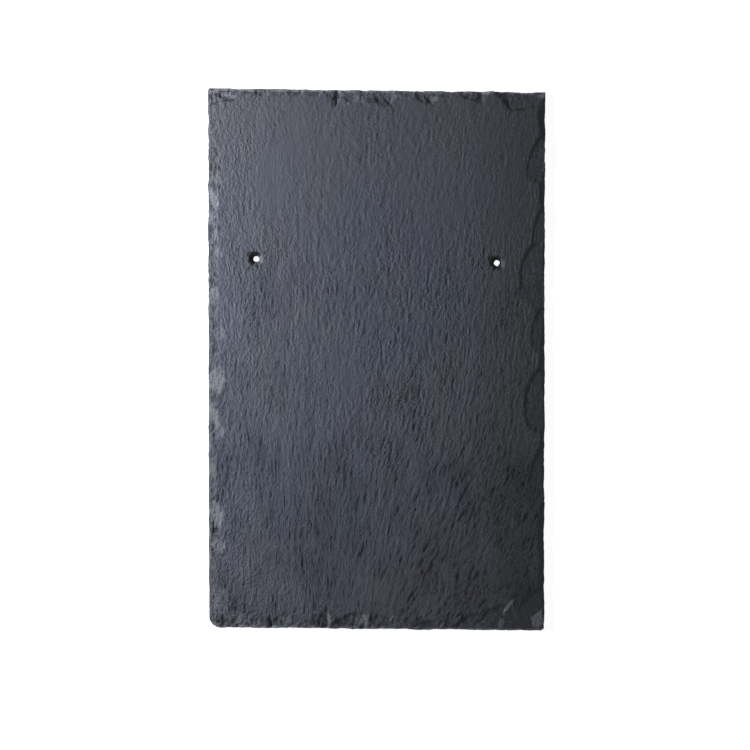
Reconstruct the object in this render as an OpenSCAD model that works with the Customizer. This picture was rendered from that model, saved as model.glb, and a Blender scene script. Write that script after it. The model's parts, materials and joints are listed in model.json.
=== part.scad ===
// A natural slate for roofs and cladding: one thin split sheet with four hand-dressed edges
// and two punched nail holes. Sizes are in millimetres and +Z is up.
// The slate lies flat on its bed, dressed face up, with its head towards +Y.
// The origin is on the resting plane, under the middle of the slate.

/* [Slate] */
// Width across the middle of the slate
slate_w = 250; // [200:1:350]
// Length from head to tail
slate_l = 400; // [300:1:600]
// Thickness of the split sheet
slate_t = 6; // [5.5:0.5:10]
// How much narrower the tail is than the head
taper = 1.8; // [0:0.1:4]
// Fall of the head across the width, as the slate is cut out of square
head_fall = 3.3; // [0:0.1:5]
// Fall of the tail across the width
tail_fall = 2.5; // [0:0.1:5]
// Rounding of the left corner of the head
head_left_r = 3; // [1:0.5:12]
// Rounding of the right corner of the head
head_right_r = 1; // [1:0.5:12]
// Rounding of the left corner of the tail
tail_left_r = 9; // [1:0.5:12]
// Rounding of the right corner of the tail
tail_right_r = 4; // [1:0.5:12]

/* [Nail holes] */
// Diameter of the punched hole
hole_d = 4.8; // [3:0.1:7]
// Distance between the two holes
hole_spacing = 178.4; // [100:0.2:184]
// Distance of the holes from the head
hole_from_head = 126.8; // [40:0.2:180]
// How much lower the right hole is than the left one
hole_fall = 3; // [0:0.1:5]
// Diameter of the crater that the punch bursts out of the face
crater_d = 11.4; // [8:0.1:16]
// Depth of the crater
crater_depth = 3; // [1:0.1:3.5]

/* [Dressed edge] */
// Lean of the wall round a flake scar, from upright
wall_lean = 52; // [30:1:60]
// Lean of the wall where a scar breaks off, from upright
break_lean = 40; // [20:1:60]
// Slant of that wall across the edge
break_turn = 30; // [10:1:40]
// Greatest shift of the ends of a scar that lies askew to its edge
scar_skew = 1.2; // [0:0.1:2]
// Distance between the points of the ragged outline
ragged_pitch = 7; // [4:0.5:15]
// Greatest depth of the ragged outline
ragged_depth = 0.7; // [0:0.05:1]

/* [Hidden] */
$fn = 64;
over = 1;
half_l = slate_l / 2;
half_head = (slate_w + taper / 2) / 2;
half_tail = (slate_w - taper / 2) / 2;
scar_h = 2 * slate_t;
gouge_over = 2;
block_over = 4;
corner_steps = 4;
outline_seed = 5;
skew_seed = 100;
slate_colour = [0.3, 0.31, 0.35];

tail_left = [-half_tail, (tail_fall - slate_l) / 2];
tail_right = [half_tail, -(tail_fall + slate_l) / 2];
head_right = [half_head, (slate_l - head_fall) / 2];
head_left = [-half_head, (slate_l + head_fall) / 2];

// The edges run anticlockwise: tail, right side, head, left side
corners = [tail_left, tail_right, head_right, head_left];
corner_r = [tail_left_r, tail_right_r, head_right_r, head_left_r];
last_edge = len(corners) - 1;
edges = [0 : last_edge];

// Flake scars: place as a share of the edge, length, reach inwards, depth of the inner rim,
// depth at the edge, and how far from its middle the scar breaks off, with 0 for not at all
tail_flakes = [
    [0.03, 18, 8, 0.4, 2.2, 0],
    [0.115, 17, 12, 0.4, 1.9, 0],
    [0.15, 14, 7, 0.45, 2.1, 0],
    [0.235, 25, 11, 0.4, 1.9, 0],
    [0.275, 18, 8, 0.4, 2, 0],
    [0.464, 50, 12.4, 0.9, 2.2, -6],
    [0.505, 18, 10, 0.5, 2.6, 0],
    [0.545, 20, 9, 0.5, 2.4, 0],
    [0.6, 20, 5.6, 0.6, 2.2, 0],
    [0.655, 26, 6.6, 0.9, 2.3, -10],
    [0.72, 22, 7.2, 0.7, 2.3, 0],
    [0.805, 37, 12.4, 0.8, 2.1, 0],
    [0.885, 42, 19, 0.9, 2, -15],
    [0.945, 26, 10, 0.5, 2.2, 0]
];
right_flakes = [
    [0.0135, 53, 22, 0.45, 1.7, 0],
    [0.0235, 18, 8.5, 0.5, 1, 0],
    [0.09, 52, 5.2, 0.35, 2.4, 0],
    [0.185, 56, 5.8, 0.35, 2.4, 0],
    [0.2785, 60, 11.5, 0.5, 1.4, 11],
    [0.33, 60, 4.2, 0.35, 2.4, 0],
    [0.416, 64, 15.4, 0.55, 1.6, 22],
    [0.47, 80, 4.4, 0.35, 2.6, 0],
    [0.5485, 46, 10.3, 0.5, 1.6, 15],
    [0.62, 84, 4.6, 0.35, 2.5, 0],
    [0.6535, 62, 19, 0.6, 1.6, 19],
    [0.7285, 54, 9.8, 0.5, 1.6, 0],
    [0.811, 30, 4.9, 0.35, 2.4, 0],
    [0.8435, 68, 14.4, 0.5, 1.6, 9],
    [0.961, 40, 5.7, 0.45, 2.6, 0]
];
head_flakes = [
    [0.03, 22, 11.6, 0.6, 2.6, 0],
    [0.076, 27, 13.4, 0.7, 2.4, 0],
    [0.12, 14, 6.2, 0.35, 2.4, 0],
    [0.225, 16, 6.4, 0.35, 2.6, 0],
    [0.285, 28, 4.8, 0.35, 2.4, 0],
    [0.332, 28, 11.5, 0.6, 2.4, 5],
    [0.385, 22, 5.4, 0.3, 2.4, 0],
    [0.425, 22, 8, 0.25, 2.2, 0],
    [0.452, 27, 13.5, 0.6, 2.4, 4],
    [0.516, 15, 7.4, 0.45, 2.6, 0],
    [0.564, 21, 10, 0.3, 2.4, 0],
    [0.624, 15, 7, 0.45, 2.6, 0],
    [0.684, 24, 4.9, 0.35, 2.4, 0],
    [0.744, 13, 5.3, 0.5, 2.8, 0],
    [0.788, 14, 5.9, 0.35, 2.4, 0],
    [0.848, 18, 5.2, 0.35, 2.6, 0],
    [0.894, 14, 4.5, 0.3, 2.4, 0],
    [0.952, 24, 8.4, 0.6, 2.4, 0]
];
left_flakes = [
    [0.02, 20, 7, 0.2, 2.4, 0],
    [0.0735, 28, 6.4, 0.2, 2.4, 0],
    [0.125, 23, 9, 0.2, 2.4, 0],
    [0.163, 24, 11.4, 0.25, 2.6, 0],
    [0.207, 20, 8, 0.25, 2.6, 0],
    [0.248, 18, 8.4, 0.2, 2.6, 0],
    [0.292, 25, 7, 0.2, 2.4, 0],
    [0.345, 22, 7.6, 0.2, 2.4, 0],
    [0.392, 19, 8.6, 0.2, 2.6, 0],
    [0.425, 16, 5.5, 0.2, 2.4, 0],
    [0.465, 34, 11.4, 0.2, 2.4, 0],
    [0.536, 25, 11.6, 0.25, 2.6, 0],
    [0.575, 16, 6.2, 0.2, 2.6, 0],
    [0.628, 44, 11, 0.25, 2.6, -10],
    [0.685, 22, 6.1, 0.2, 2.4, 0],
    [0.725, 28, 7.1, 0.2, 2.4, 0],
    [0.795, 26, 10.8, 0.2, 2.6, 0],
    [0.852, 27, 12, 0.2, 2.4, 0],
    [0.905, 28, 6, 0.2, 2.4, 0],
    [0.95, 21, 6.7, 0.2, 2.4, 0],
    [0.985, 18, 8.2, 0.2, 2.4, 0]
];
flakes = [tail_flakes, right_flakes, head_flakes, left_flakes];

// Pointed gouges: place as a share of the edge, length, reach inwards, depth at the edge, and
// how far the valley is off the middle, as a share of the length
tail_gouges = [
    [0.08, 8, 7, 4, 0.3],
    [0.17, 10, 12, 4, 0.5],
    [0.316, 17, 20, 4.2, 0.5],
    [0.44, 14, 11.5, 4.4, 0.4]
];
right_gouges = [[0.636, 40, 25, 3.4, -0.1]];
head_gouges = [
    [0.205, 18, 10.4, 4, -0.2],
    [0.63, 12, 14.5, 4, -0.4]
];
left_gouges = [
    [0.3735, 5, 9.4, 4, 0.4],
    [0.758, 9, 9.6, 4, 0.5]
];
gouges = [tail_gouges, right_gouges, head_gouges, left_gouges];

// Extra bursts of a crater: two offsets, then width and depth as shares of the crater's own
bursts = [[0.9, -1.1, 0.86, 0.45], [-1.2, 0.3, 0.8, 0.35]];

// The edge after an edge, the direction of an edge, its length and the direction inwards from it
function next_edge(e) = (e + 1) % len(corners);
function along(e) = let (run = corners[next_edge(e)] - corners[e]) run / norm(run);
function edge_len(e) = norm(corners[next_edge(e)] - corners[e]);
function inward(e) = [-along(e)[1], along(e)[0]];

// Points of one ragged edge, between the roundings of its two corners
function ragged(e) = let (
        first = corner_r[e],
        run = edge_len(e) - first - corner_r[next_edge(e)],
        n = round(run / ragged_pitch),
        inset = rands(0, ragged_depth, n + 1, e + outline_seed)
    )
    [for (i = [0 : n]) corners[e] + along(e) * (first + run * i / n) + inward(e) * inset[i]];

// Points of the rounded corner at the end of an edge
function corner_arc(e) = let (
        next = next_edge(e),
        r = corner_r[next],
        middle = corners[next] + (inward(e) + inward(next)) * r,
        step = 90 / corner_steps
    )
    [for (a = [step : step : 90 - step]) middle - (inward(e) * cos(a) + inward(next) * sin(a)) * r];

outline = [for (e = edges) each concat(ragged(e), corner_arc(e))];

// Puts its children on an edge, with X along it, Y inwards and Z from the resting plane
module on_edge(e, share) {
    translate(corners[e] + along(e) * edge_len(e) * share)
        rotate(atan2(along(e)[1], along(e)[0]))
            children();
}

// A shallow dish with a curved wall and a flat floor that falls to the edge
module flake(length, reach, rim, drop) {
    fall = atan((drop - rim) / reach);
    half = length / 2;
    bow = (half * half + reach * reach) / (2 * reach);
    translate([0, reach, slate_t - rim])
        rotate([fall, 0, 0])
            translate([0, -bow, 0])
                cylinder(h = scar_h, r1 = bow, r2 = bow + scar_h * tan(wall_lean));
}

// Ends its children at a slanting wall, before the middle for stop above 0 and after it below
module broken(stop, length) {
    block = block_over * length;
    if (stop == 0)
        children();
    else
        intersection() {
            children();
            mirror([stop > 0 ? 0 : 1, 0, 0])
                translate([-abs(stop), 0, slate_t])
                    rotate([0, -break_lean, -break_turn])
                        translate([0, -block / 2, -block / 2])
                            cube(block);
        }
}

// A narrow V-shaped scar that widens and deepens from a point on the face to the edge
module gouge(length, reach, drop, valley) {
    fall = atan(drop / reach);
    wide = length * gouge_over / 2;
    tall = drop * gouge_over * cos(fall);
    translate([0, reach, slate_t])
        rotate([90 + fall, 0, 0])
            translate([0, 0, -over])
                linear_extrude(gouge_over * reach)
                    polygon([[valley * wide, 0], [wide, tall], [-wide, tall]]);
}

// One scar of an edge by its number: the flakes come first, then the gouges
module scar(e, i) {
    many = len(flakes[e]);
    row = i < many ? flakes[e][i] : gouges[e][i - many];
    turn = rands(-1, 1, 1, skew_seed * e + i)[0] * atan(2 * scar_skew / row[1]);
    on_edge(e, row[0])
        rotate(turn)
            if (i < many)
                broken(row[5], row[1])
                    flake(row[1], row[2], row[3], row[4]);
            else
                gouge(row[1], row[2], row[3], row[4]);
}

// Cuts the scars of an edge out of its children one after another, up to number i
module scarred(e, i) {
    if (i < 0)
        children();
    else
        difference() {
            scarred(e, i - 1)
                children();
            scar(e, i);
        }
}

// Cuts the scars of every edge up to number e out of its children
module dressed(e) {
    if (e < 0)
        children();
    else
        scarred(e, len(flakes[e]) + len(gouges[e]) - 1)
            dressed(e - 1)
                children();
}

// A cone that opens from the hole to a width on the face
module crater(wide, deep) {
    translate([0, 0, slate_t - deep])
        cylinder(h = deep + over, d1 = hole_d, d2 = hole_d + (wide - hole_d) * (deep + over) / deep);
}

// One nail hole with its crater, on the left for side -1 and on the right for side 1
module nail_hole(side) {
    x = side * hole_spacing / 2;
    y = half_l - hole_from_head - side * hole_fall / 2;
    translate([x, y, 0]) {
        translate([0, 0, -over])
            cylinder(h = slate_t + 2 * over, d = hole_d);
        crater(crater_d, crater_depth);
        for (b = bursts)
            translate([side * b[0], b[1], 0])
                crater(crater_d * b[2], crater_depth * b[3]);
    }
}

// The whole slate
module slate() {
    color(slate_colour)
        difference() {
            dressed(last_edge)
                linear_extrude(slate_t)
                    polygon(outline);
            nail_hole(-1);
            nail_hole(1);
        }
}

slate();
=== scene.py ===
"""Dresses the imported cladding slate: a riven sheet with chipped edges and two nail holes."""

import json
import logging
import math
from dataclasses import dataclass, field
from enum import Enum
from typing import Any, Iterable, Sequence

import bmesh
import bpy
import numpy as np
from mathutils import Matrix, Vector, noise
from mathutils.bvhtree import BVHTree


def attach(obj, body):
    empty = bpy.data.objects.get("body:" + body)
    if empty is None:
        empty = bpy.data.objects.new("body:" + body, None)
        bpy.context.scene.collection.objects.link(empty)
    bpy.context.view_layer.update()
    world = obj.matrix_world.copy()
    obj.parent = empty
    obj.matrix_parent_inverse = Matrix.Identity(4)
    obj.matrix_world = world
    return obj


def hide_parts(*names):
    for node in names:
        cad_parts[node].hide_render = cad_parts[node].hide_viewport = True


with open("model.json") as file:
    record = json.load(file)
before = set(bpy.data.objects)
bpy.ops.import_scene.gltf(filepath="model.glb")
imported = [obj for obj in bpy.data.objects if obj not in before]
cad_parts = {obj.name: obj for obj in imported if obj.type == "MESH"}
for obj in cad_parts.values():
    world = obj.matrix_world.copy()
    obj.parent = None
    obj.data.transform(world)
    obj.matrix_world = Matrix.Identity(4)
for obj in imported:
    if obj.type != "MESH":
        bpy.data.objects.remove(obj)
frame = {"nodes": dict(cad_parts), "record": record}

MM = 0.001
LOG = logging.getLogger("slate")
DOWN = Vector((0.0, 0.0, -1.0))
SEED_STEP = np.array((7.31, 3.17, 5.73))
NOISE_MEAN = 0.22
TINY = 1e-9

Colour = tuple[float, float, float]
# The values between which something eases from 0 to 1
Ramp = tuple[float, float]
# The lower and upper bound of a pattern's value, and the results at them
Span = tuple[float, float, float, float]
# The middle across and along, half width, half length, turn and strength of a painted patch
Spot = tuple[float, float, float, float, float, float]
Edges = list[bmesh.types.BMEdge]
Verts = list[bmesh.types.BMVert]
Socket = bpy.types.NodeSocket


class Part(Enum):
    """The surfaces of the sheet that are dressed in different ways."""

    FACE = 0
    WALL = 1
    BORE = 2
    BED = 3


class Basis(Enum):
    """What a pattern of the finish is laid out on."""

    STONE = "stone"
    GRAIN = "grain"


class Mark(Enum):
    """What is painted on the stone, by the name of its attribute."""

    SCAR = "scar"
    # Pale coat: bruises and painted highlights
    BRUISE_AND_HIGHLIGHT = "fresh"
    # Dark coat: stains, painted shadow in the craters, and painted shade along rims and over the right side
    STAIN_AND_PAINTED_SHADE = "stain_and_painted_shade"
    # Painted shade in the grain's grooves
    PAINTED_GROOVE_SHADE = "groove"
    LIVELY = "lively"
    WORN = "worn"
    BROKEN = "broken"
    TINGE = "tinge"
    RUGGED = "rugged"


def smoothstep(low: float, high: float, value: np.ndarray) -> np.ndarray:
    """Eases a value from 0 at one bound to 1 at another.

    Args:
        low: Value at which the result is 0.
        high: Value at which the result is 1.
        value: Values to ease.

    Returns:
        The eased values.
    """
    share = np.clip((value - low) / (high - low), 0.0, 1.0)
    return share * share * (3.0 - 2.0 * share)


def ripple(points: np.ndarray, pitch: Sequence[float], seed: float) -> np.ndarray:
    """Reads smooth noise at many points.

    Args:
        points: Array of points with two or three coordinates each.
        pitch: Size of a feature along each coordinate.
        seed: Offset that sets one reading apart from another.

    Returns:
        One value from -1 to 1 for each point.
    """
    scaled = np.zeros((len(points), 3))
    scaled[:, : points.shape[1]] = points / np.asarray(pitch)
    scaled += seed * SEED_STEP
    return np.fromiter((noise.noise(p) for p in scaled.tolist()), float, len(points))


def graded(reach: float, fine: float, coarse: float, band: float, step: int) -> np.ndarray:
    """Places grid lines closely near both ends and further apart between them.

    Args:
        reach: Distance of either end from the middle.
        fine: Spacing near the ends.
        coarse: Spacing between them.
        band: Width of the close spacing at either end.
        step: The number of cells is a multiple of this.

    Returns:
        The places of the lines, in order.
    """
    near = round(band / fine)
    far = round(2.0 * (reach - band) / coarse)
    far += -(2 * near + far) % step
    return np.concatenate(
        (
            np.linspace(-reach, band - reach, near, endpoint=False),
            np.linspace(band - reach, reach - band, far, endpoint=False),
            np.linspace(reach - band, reach, near + 1),
        )
    )


@dataclass(frozen=True)
class Wave:
    """One layer of smooth noise: the size of its features, its seed and its strength."""

    pitch: tuple[float, ...]
    seed: float
    by: float = 1.0

    def read(self, points: np.ndarray, shift: float = 0.0) -> np.ndarray:
        """Gives the layer's value at each point, with its seed shifted."""
        return self.by * ripple(points, self.pitch, self.seed + shift)

    def ridged(self, points: np.ndarray, shift: float = 0.0) -> np.ndarray:
        """Gives the layer folded into sharp valleys, or sharp crests where its strength is negative."""
        return self.by * (np.abs(ripple(points, self.pitch, self.seed + shift)) - NOISE_MEAN)


@dataclass(frozen=True)
class Grain:
    """The lie of the cleavage grain: upright on the left, leaning on the right, most at the tail.

    Each of the leans is a place along the slate in millimetres and the lean there in degrees.
    """

    leans: tuple[tuple[float, float], ...] = (
        (-195, 50), (-159, 44), (-125, 30), (-80, 25), (-40, 14), (20, 6), (60, 8), (190, 10),
    )
    start: float = -70 * MM
    drift: float = 32 * MM
    drift_ramp: Ramp = (-100 * MM, -150 * MM)
    spread: float = 110 * MM
    datum: float = -120 * MM
    strides: int = 40
    turns: tuple[float, ...] = (0.0, 15.0, 30.0, 45.0)

    def lean(self, x: np.ndarray, y: np.ndarray) -> np.ndarray:
        """Gives the lean of the grain from upright.

        Args:
            x: Places across the slate.
            y: Places along the slate.

        Returns:
            The lean at each place, in degrees to the right.
        """
        places, most = np.transpose(self.leans)
        start = self.start + self.drift * smoothstep(*self.drift_ramp, y)
        share = smoothstep(0.0, 1.0, (x - start) / self.spread)
        return np.interp(y / MM, places, most) * share

    def follow(self, x: np.ndarray, y: np.ndarray) -> np.ndarray:
        """Follows the grain from each place to a line across the slate.

        Args:
            x: Places across the slate.
            y: Places along the slate.

        Returns:
            Where each line of grain meets that line, measured across the slate.
        """
        across, along = x.copy(), y.copy()
        stride = (self.datum - y) / self.strides
        for _ in range(self.strides):
            across += np.tan(np.radians(self.lean(across, along))) * stride
            along += stride
        return across

    def frames(self, x: np.ndarray, y: np.ndarray) -> list[tuple[np.ndarray, np.ndarray]]:
        """Turns the slate's frame a few times, to lie along the grain.

        Args:
            x: Places across the slate.
            y: Places along the slate.

        Returns:
            For each turn, the places across and along it, and how much it counts at each.
        """
        lean = self.lean(x, y)
        step = self.turns[1] - self.turns[0]
        shares = [np.clip(1.0 - np.abs(lean - turn) / step, 0.0, None) for turn in self.turns]
        whole = np.sqrt(sum(share * share for share in shares))
        made = []
        for turn, share in zip(self.turns, shares):
            c, s = math.cos(math.radians(turn)), math.sin(math.radians(turn))
            made.append((np.column_stack((x * c - y * s, x * s + y * c)), share / whole))
        return made


@dataclass(frozen=True)
class Bark:
    """The relief of the riven grain: rounded ridges along the cleavage, with sharp grooves.

    Each pitch is across and along the grain, and each height is in millimetres.
    """

    grain: Grain = field(default_factory=Grain)
    bend: Wave = Wave((10 * MM, 15 * MM), 11.0, 0.9 * MM)
    kink: Wave = Wave((4 * MM, 5 * MM), 12.0, 0.8 * MM)
    groove: Wave = Wave((2.3 * MM, 11 * MM), 40.0, 0.65)
    crest: Wave = Wave((2.1 * MM, 9 * MM), 41.0, -0.78)
    pit: Wave = Wave((1.7 * MM, 2.1 * MM), 42.0)
    swell: Wave = Wave((3.6 * MM, 14 * MM), 43.0)
    thread: Wave = Wave((1.9 * MM, 8 * MM), 44.0, -0.45)
    frame_shift: float = 20.0
    left_ramp: Ramp = (-60 * MM, -110 * MM)
    right_ramp: Ramp = (-60 * MM, 50 * MM)
    ridge_left_loss: float = 0.2
    pit_height: float = 0.34
    pit_left_gain: float = 0.5
    swell_height: float = 0.28
    swell_right_loss: float = 0.18
    vigour: float = 0.86
    least: float = 0.35
    blot: Wave = Wave((13 * MM, 22 * MM), 13.0, 0.38)
    tide: Wave = Wave((45 * MM, 60 * MM), 5.0, 0.3)
    head_ramp: Ramp = (40 * MM, 130 * MM)
    head_loss: float = 0.45
    tail_ramp: Ramp = (0.0, -110 * MM)
    tail_gain: float = 0.34
    tail_right_ramp: Ramp = (-70 * MM, 60 * MM)
    tail_right_gain: float = 0.16

    def height(self, x: np.ndarray, y: np.ndarray) -> np.ndarray:
        """Works out the relief: short and pitted on the left, long and fine on the right.

        Args:
            x: Places across the slate.
            y: Places along the slate.

        Returns:
            The height of the grain at each place, in millimetres.
        """
        level = np.column_stack((x, y))
        left = smoothstep(*self.left_ramp, x)
        right = smoothstep(*self.right_ramp, x)
        sway = self.bend.read(level) + left * self.kink.read(level)
        height = np.zeros(len(x))
        for number, (lines, share) in enumerate(self.grain.frames(x, y)):
            here = share > 0.0
            lines = lines[here]
            lines[:, 0] += sway[here]
            shift = self.frame_shift * number
            ridges = self.groove.ridged(lines, shift) + self.crest.ridged(lines, shift)
            ridges *= 1.0 - self.ridge_left_loss * left[here]
            ridges += (self.pit_height + self.pit_left_gain * left[here]) * self.pit.read(lines, shift)
            swells = self.swell.read(lines, shift)
            ridges += (self.swell_height - self.swell_right_loss * right[here]) * swells
            ridges += right[here] * self.thread.ridged(lines, shift)
            height[here] += share[here] * ridges
        return height

    def strength(self, x: np.ndarray, y: np.ndarray) -> np.ndarray:
        """Gives how strong the grain is: patchy, weak at the head and strong at the tail's right.

        Args:
            x: Places across the slate.
            y: Places along the slate.

        Returns:
            The factor on the grain's height at each place.
        """
        level = np.column_stack((x, y))
        patch = self.vigour + self.blot.read(level) + self.tide.read(level)
        calm = 1.0 - self.head_loss * smoothstep(*self.head_ramp, y)
        rise = self.tail_gain + self.tail_right_gain * smoothstep(*self.tail_right_ramp, x)
        return np.clip(patch, self.least, None) * (calm + smoothstep(*self.tail_ramp, y) * rise)


@dataclass(frozen=True)
class Wear:
    """What breaks, chips, bruises and stains the slate, and where shade and highlights are painted on it.

    Heights are in millimetres, and so are the painted spots, with their turns in degrees.
    """

    side_ramp: Ramp = (100 * MM, 112 * MM)
    tail_ramp: Ramp = (-170 * MM, -185 * MM)
    tail_fade: Ramp = (60 * MM, -30 * MM)
    head_ramp: Ramp = (178 * MM, 188 * MM)
    head_fade: Ramp = (20 * MM, -90 * MM)
    spall_ramp: Ramp = (6.5 * MM, 9 * MM)
    scar_ramp: Ramp = (0.1 * MM, 0.7 * MM)
    crumble: float = 0.35
    crumble_left: float = 0.75
    crumble_ends: float = 0.7
    crumble_right: float = -0.25
    crumble_spall: float = 0.95
    crumbs: tuple[Wave, Wave] = (Wave((2.6 * MM,) * 3, 7.0, 0.3), Wave((1.6 * MM,) * 3, 8.0, 0.25))
    scar_grain: float = 0.55
    scar_grain_left: float = 0.65
    scar_grain_right: float = -0.2
    chip_pitch: tuple[float, float] = (4.2 * MM, 5.5 * MM)
    chip_warp: tuple[Wave, Wave] = (Wave((4 * MM, 4 * MM), 31.0, 0.5), Wave((4 * MM, 4 * MM), 32.0, 0.5))
    chip_seed: float = 9.7
    chip_step: float = 0.22
    chip_slope: float = 0.75
    spot_fray: tuple[Wave, Wave] = (
        Wave((3 * MM, 3 * MM), 4.0, 0.6),
        Wave((1.5 * MM, 1.5 * MM), 4.5, 0.36),
    )
    spot_ramp: Ramp = (0.8, 1.15)
    facet_height: float = 0.4
    stain_and_shade_depth: float = 0.35
    swell: Wave = Wave((60 * MM, 90 * MM), 6.0, 0.1)
    # The pale arris is partly a bruise of the stone and partly a painted highlight, strongest along the
    # head and tail
    arris_ramp: Ramp = (2.6 * MM, 1.2 * MM)
    arris_gaps: Wave = Wave((4 * MM, 4 * MM), 14.0)
    arris_cover: float = 0.5
    arris_paint: float = 0.7
    arris_right_loss: float = 0.55
    rim_ramp: Ramp = (6 * MM, 3 * MM)
    head_rim_paint: float = 2.9
    tail_rim_paint: float = 2.2
    bruise_and_highlight_smooth: float = 0.8
    bite: float = 0.12
    bite_layers: Wave = Wave((9 * MM, 9 * MM, 0.7 * MM), 9.0, 0.14)
    bite_nibbles: tuple[Wave, Wave] = (
        Wave((2.6 * MM, 2.6 * MM), 10.0, 0.3),
        Wave((7 * MM, 7 * MM), 10.5, 0.3),
    )
    bite_band: float = 0.9 * MM
    # Painted shade: the grain's grooves are darkened in the colour, less on the scars
    groove_ramp: Ramp = (-0.28, 0.0)
    groove_scar_loss: float = 0.5
    # Painted shade: a dark coat over the right side, most along its edge and towards the tail, where the
    # light falls off
    dusk_ramp: Ramp = (10 * MM, 125 * MM)
    dusk_middle: float = 0.195
    dusk_per_metre: float = -0.675
    dusk_edge_ramp: Ramp = (55 * MM, 115 * MM)
    dusk_edge: float = 0.675
    dusk_tail_ramp: Ramp = (0.0, -100 * MM)
    dusk_tail: float = 0.3
    worn_head_ramp: Ramp = (60 * MM, 190 * MM)
    worn_right_ramp: Ramp = (50 * MM, 115 * MM)
    worn_share: float = 0.7
    tinge_tail_ramp: Ramp = (-110 * MM, -185 * MM)
    tinge_head_ramp: Ramp = (130 * MM, 190 * MM)
    tinge_tail: float = 0.8
    tinge_head: float = 0.4
    rugged_ramp: Ramp = (-50 * MM, -105 * MM)
    # Pale patches: bruises, with painted highlights on the lit right walls of the craters and on lit break
    # faces at the tail's right corner
    bruises_and_highlights: tuple[Spot, ...] = (
        (-109, 196, 5, 2, -10, 0.9), (-118, 134.5, 4, 5, 30, 0.6), (-120.5, 119, 3, 7, 20, 0.95),
        (-121.5, 104, 3, 5, 0, 0.7), (-119, 92, 4, 5, 0, 0.4), (-117, 80, 3.5, 4, 30, 0.4),
        (-120.5, 47, 4, 6, -10, 0.7), (-116, 20, 4, 5, 0, 0.38), (-118, -15, 6, 9, 0, 0.75),
        (-120.5, -41, 3.5, 10, 25, 0.85), (-115.5, -53, 3.5, 4, 0, 0.5), (-122, -81, 3, 6, 0, 0.5),
        (-118, -115, 4.5, 8, 15, 0.75), (-118, -138, 4.5, 6, 0, 0.6), (120.5, -192, 4, 7, -20, 2.2),
        (-104, -196, 2, 1.5, 0, 1.2), (-66, -192.5, 4, 3, 0, 0.5), (-35, -192, 1.5, 4, 0, 0.5),
        (-8.5, -194, 3.5, 5, -15, 1.0), (11.5, -191, 1.2, 2.5, -30, 1.0), (48.5, -196, 1.8, 2.2, 0, 1.4),
        (97, -184, 1.3, 6, -35, 2.2), (93, -195.5, 2, 3, 0, 0.8), (-78, 198, 2, 1.5, 0, 0.5),
        (-20.5, 189.8, 1.2, 1, 0, 0.8), (-14, 193.5, 2.5, 2, 0, 0.5), (16, 195, 4, 2, 0, 0.5),
        (45, 193, 2.5, 2, 0, 0.6), (68.5, 195, 1, 1, 0, 0.6), (-85.2, 73.5, 1.5, 3.4, 10, 0.8),
        (93.4, 70.5, 1.2, 3, 10, 0.5), (-115, -179, 6, 10, 0, 0.45), (-103, -191, 8, 4, 0, 0.45),
    )
    # Dark patches: stains, with painted shadow in the left walls of the craters and painted shade in thin
    # lines along the rims of the head's scars
    stains_and_painted_shade: tuple[Spot, ...] = (
        (-45, -193, 4, 5, 0, 0.7), (-23, -195.5, 6, 4, 0, 0.6), (38, -197, 4, 2.5, 0, 0.8),
        (58, -197, 8, 2.5, 0, 0.6), (-62, 199, 4, 2, 0, 0.7), (56, 199, 3, 2, 0, 0.7),
        (64, 199, 3, 2, 0, 0.7), (-31, 190.5, 2.2, 5, 0, 0.8), (-3.5, 192, 3, 2.5, 0, 0.9),
        (-119, -29, 5, 2, 10, 0.8), (-120, 57, 5, 1.5, -10, 0.8), (-121, -126, 4, 2, 0, 0.7),
        (123, -148, 2.5, 36, 0, 0.8), (-118.5, 190.2, 4.5, 0.8, 20, 1.1), (-109, 192, 6.5, 0.8, 2, 1.3),
        (9, 189.5, 5.5, 0.8, -46, 1.8), (38.5, 192, 6.5, 0.9, -48, 1.8), (67.5, 194.5, 1.8, 2.5, 0, 1.2),
        (74, 191.5, 5, 0.9, -20, 1.6), (97.5, 189, 0.9, 4, 10, 1.6), (104, 184.8, 6, 0.9, 5, 1.6),
        (114, 186.5, 6, 0.9, 20, 1.2), (-92.4, 76, 2.4, 4.8, 20, 1.8), (86.1, 73.2, 2.4, 4.6, 20, 1.8),
        (-94, 67.8, 1.2, 1, 0, 1.2), (-91, 66.6, 1.2, 1, 0, 1.2), (-90, 78.4, 3.0, 1.6, -10, 1.6),
        (88.4, 75.6, 3.0, 1.6, -10, 1.6), (92, 67.2, 1.6, 1, 0, 1.0),
    )

    def sides(self, x: np.ndarray) -> tuple[np.ndarray, np.ndarray]:
        """Tells how far places belong to the left and to the right dressed edge, from 0 to 1."""
        return smoothstep(*self.side_ramp, -x), smoothstep(*self.side_ramp, x)

    def spalled(self, x: np.ndarray, y: np.ndarray, holes: Sequence[Vector]) -> np.ndarray:
        """Tells how far places belong to the spall round a hole, from 0 to 1.

        Args:
            x: Places across the slate.
            y: Places along the slate.
            holes: Middles of the holes.

        Returns:
            The share of the spall at each place.
        """
        near = [np.hypot(x - hole.x, y - hole.y) for hole in holes]
        return 1.0 - smoothstep(*self.spall_ramp, np.minimum.reduce(near))

    def brokenness(self, x: np.ndarray, y: np.ndarray, spall: np.ndarray) -> np.ndarray:
        """Gives how crumbly a scar is: most round the holes, on the left and at the left of the ends.

        Args:
            x: Places across the slate.
            y: Places along the slate.
            spall: Share of a hole's spall at each place.

        Returns:
            The factor on the crumbs' height at each place.
        """
        left, right = self.sides(x)
        tail = smoothstep(*self.tail_ramp, y) * smoothstep(*self.tail_fade, x)
        head = smoothstep(*self.head_ramp, y) * smoothstep(*self.head_fade, x)
        most = np.maximum(left, self.crumble_ends * np.maximum(tail, head))
        edges = self.crumble + self.crumble_left * most + self.crumble_right * right
        return np.maximum(edges, self.crumble_spall * spall)

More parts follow.
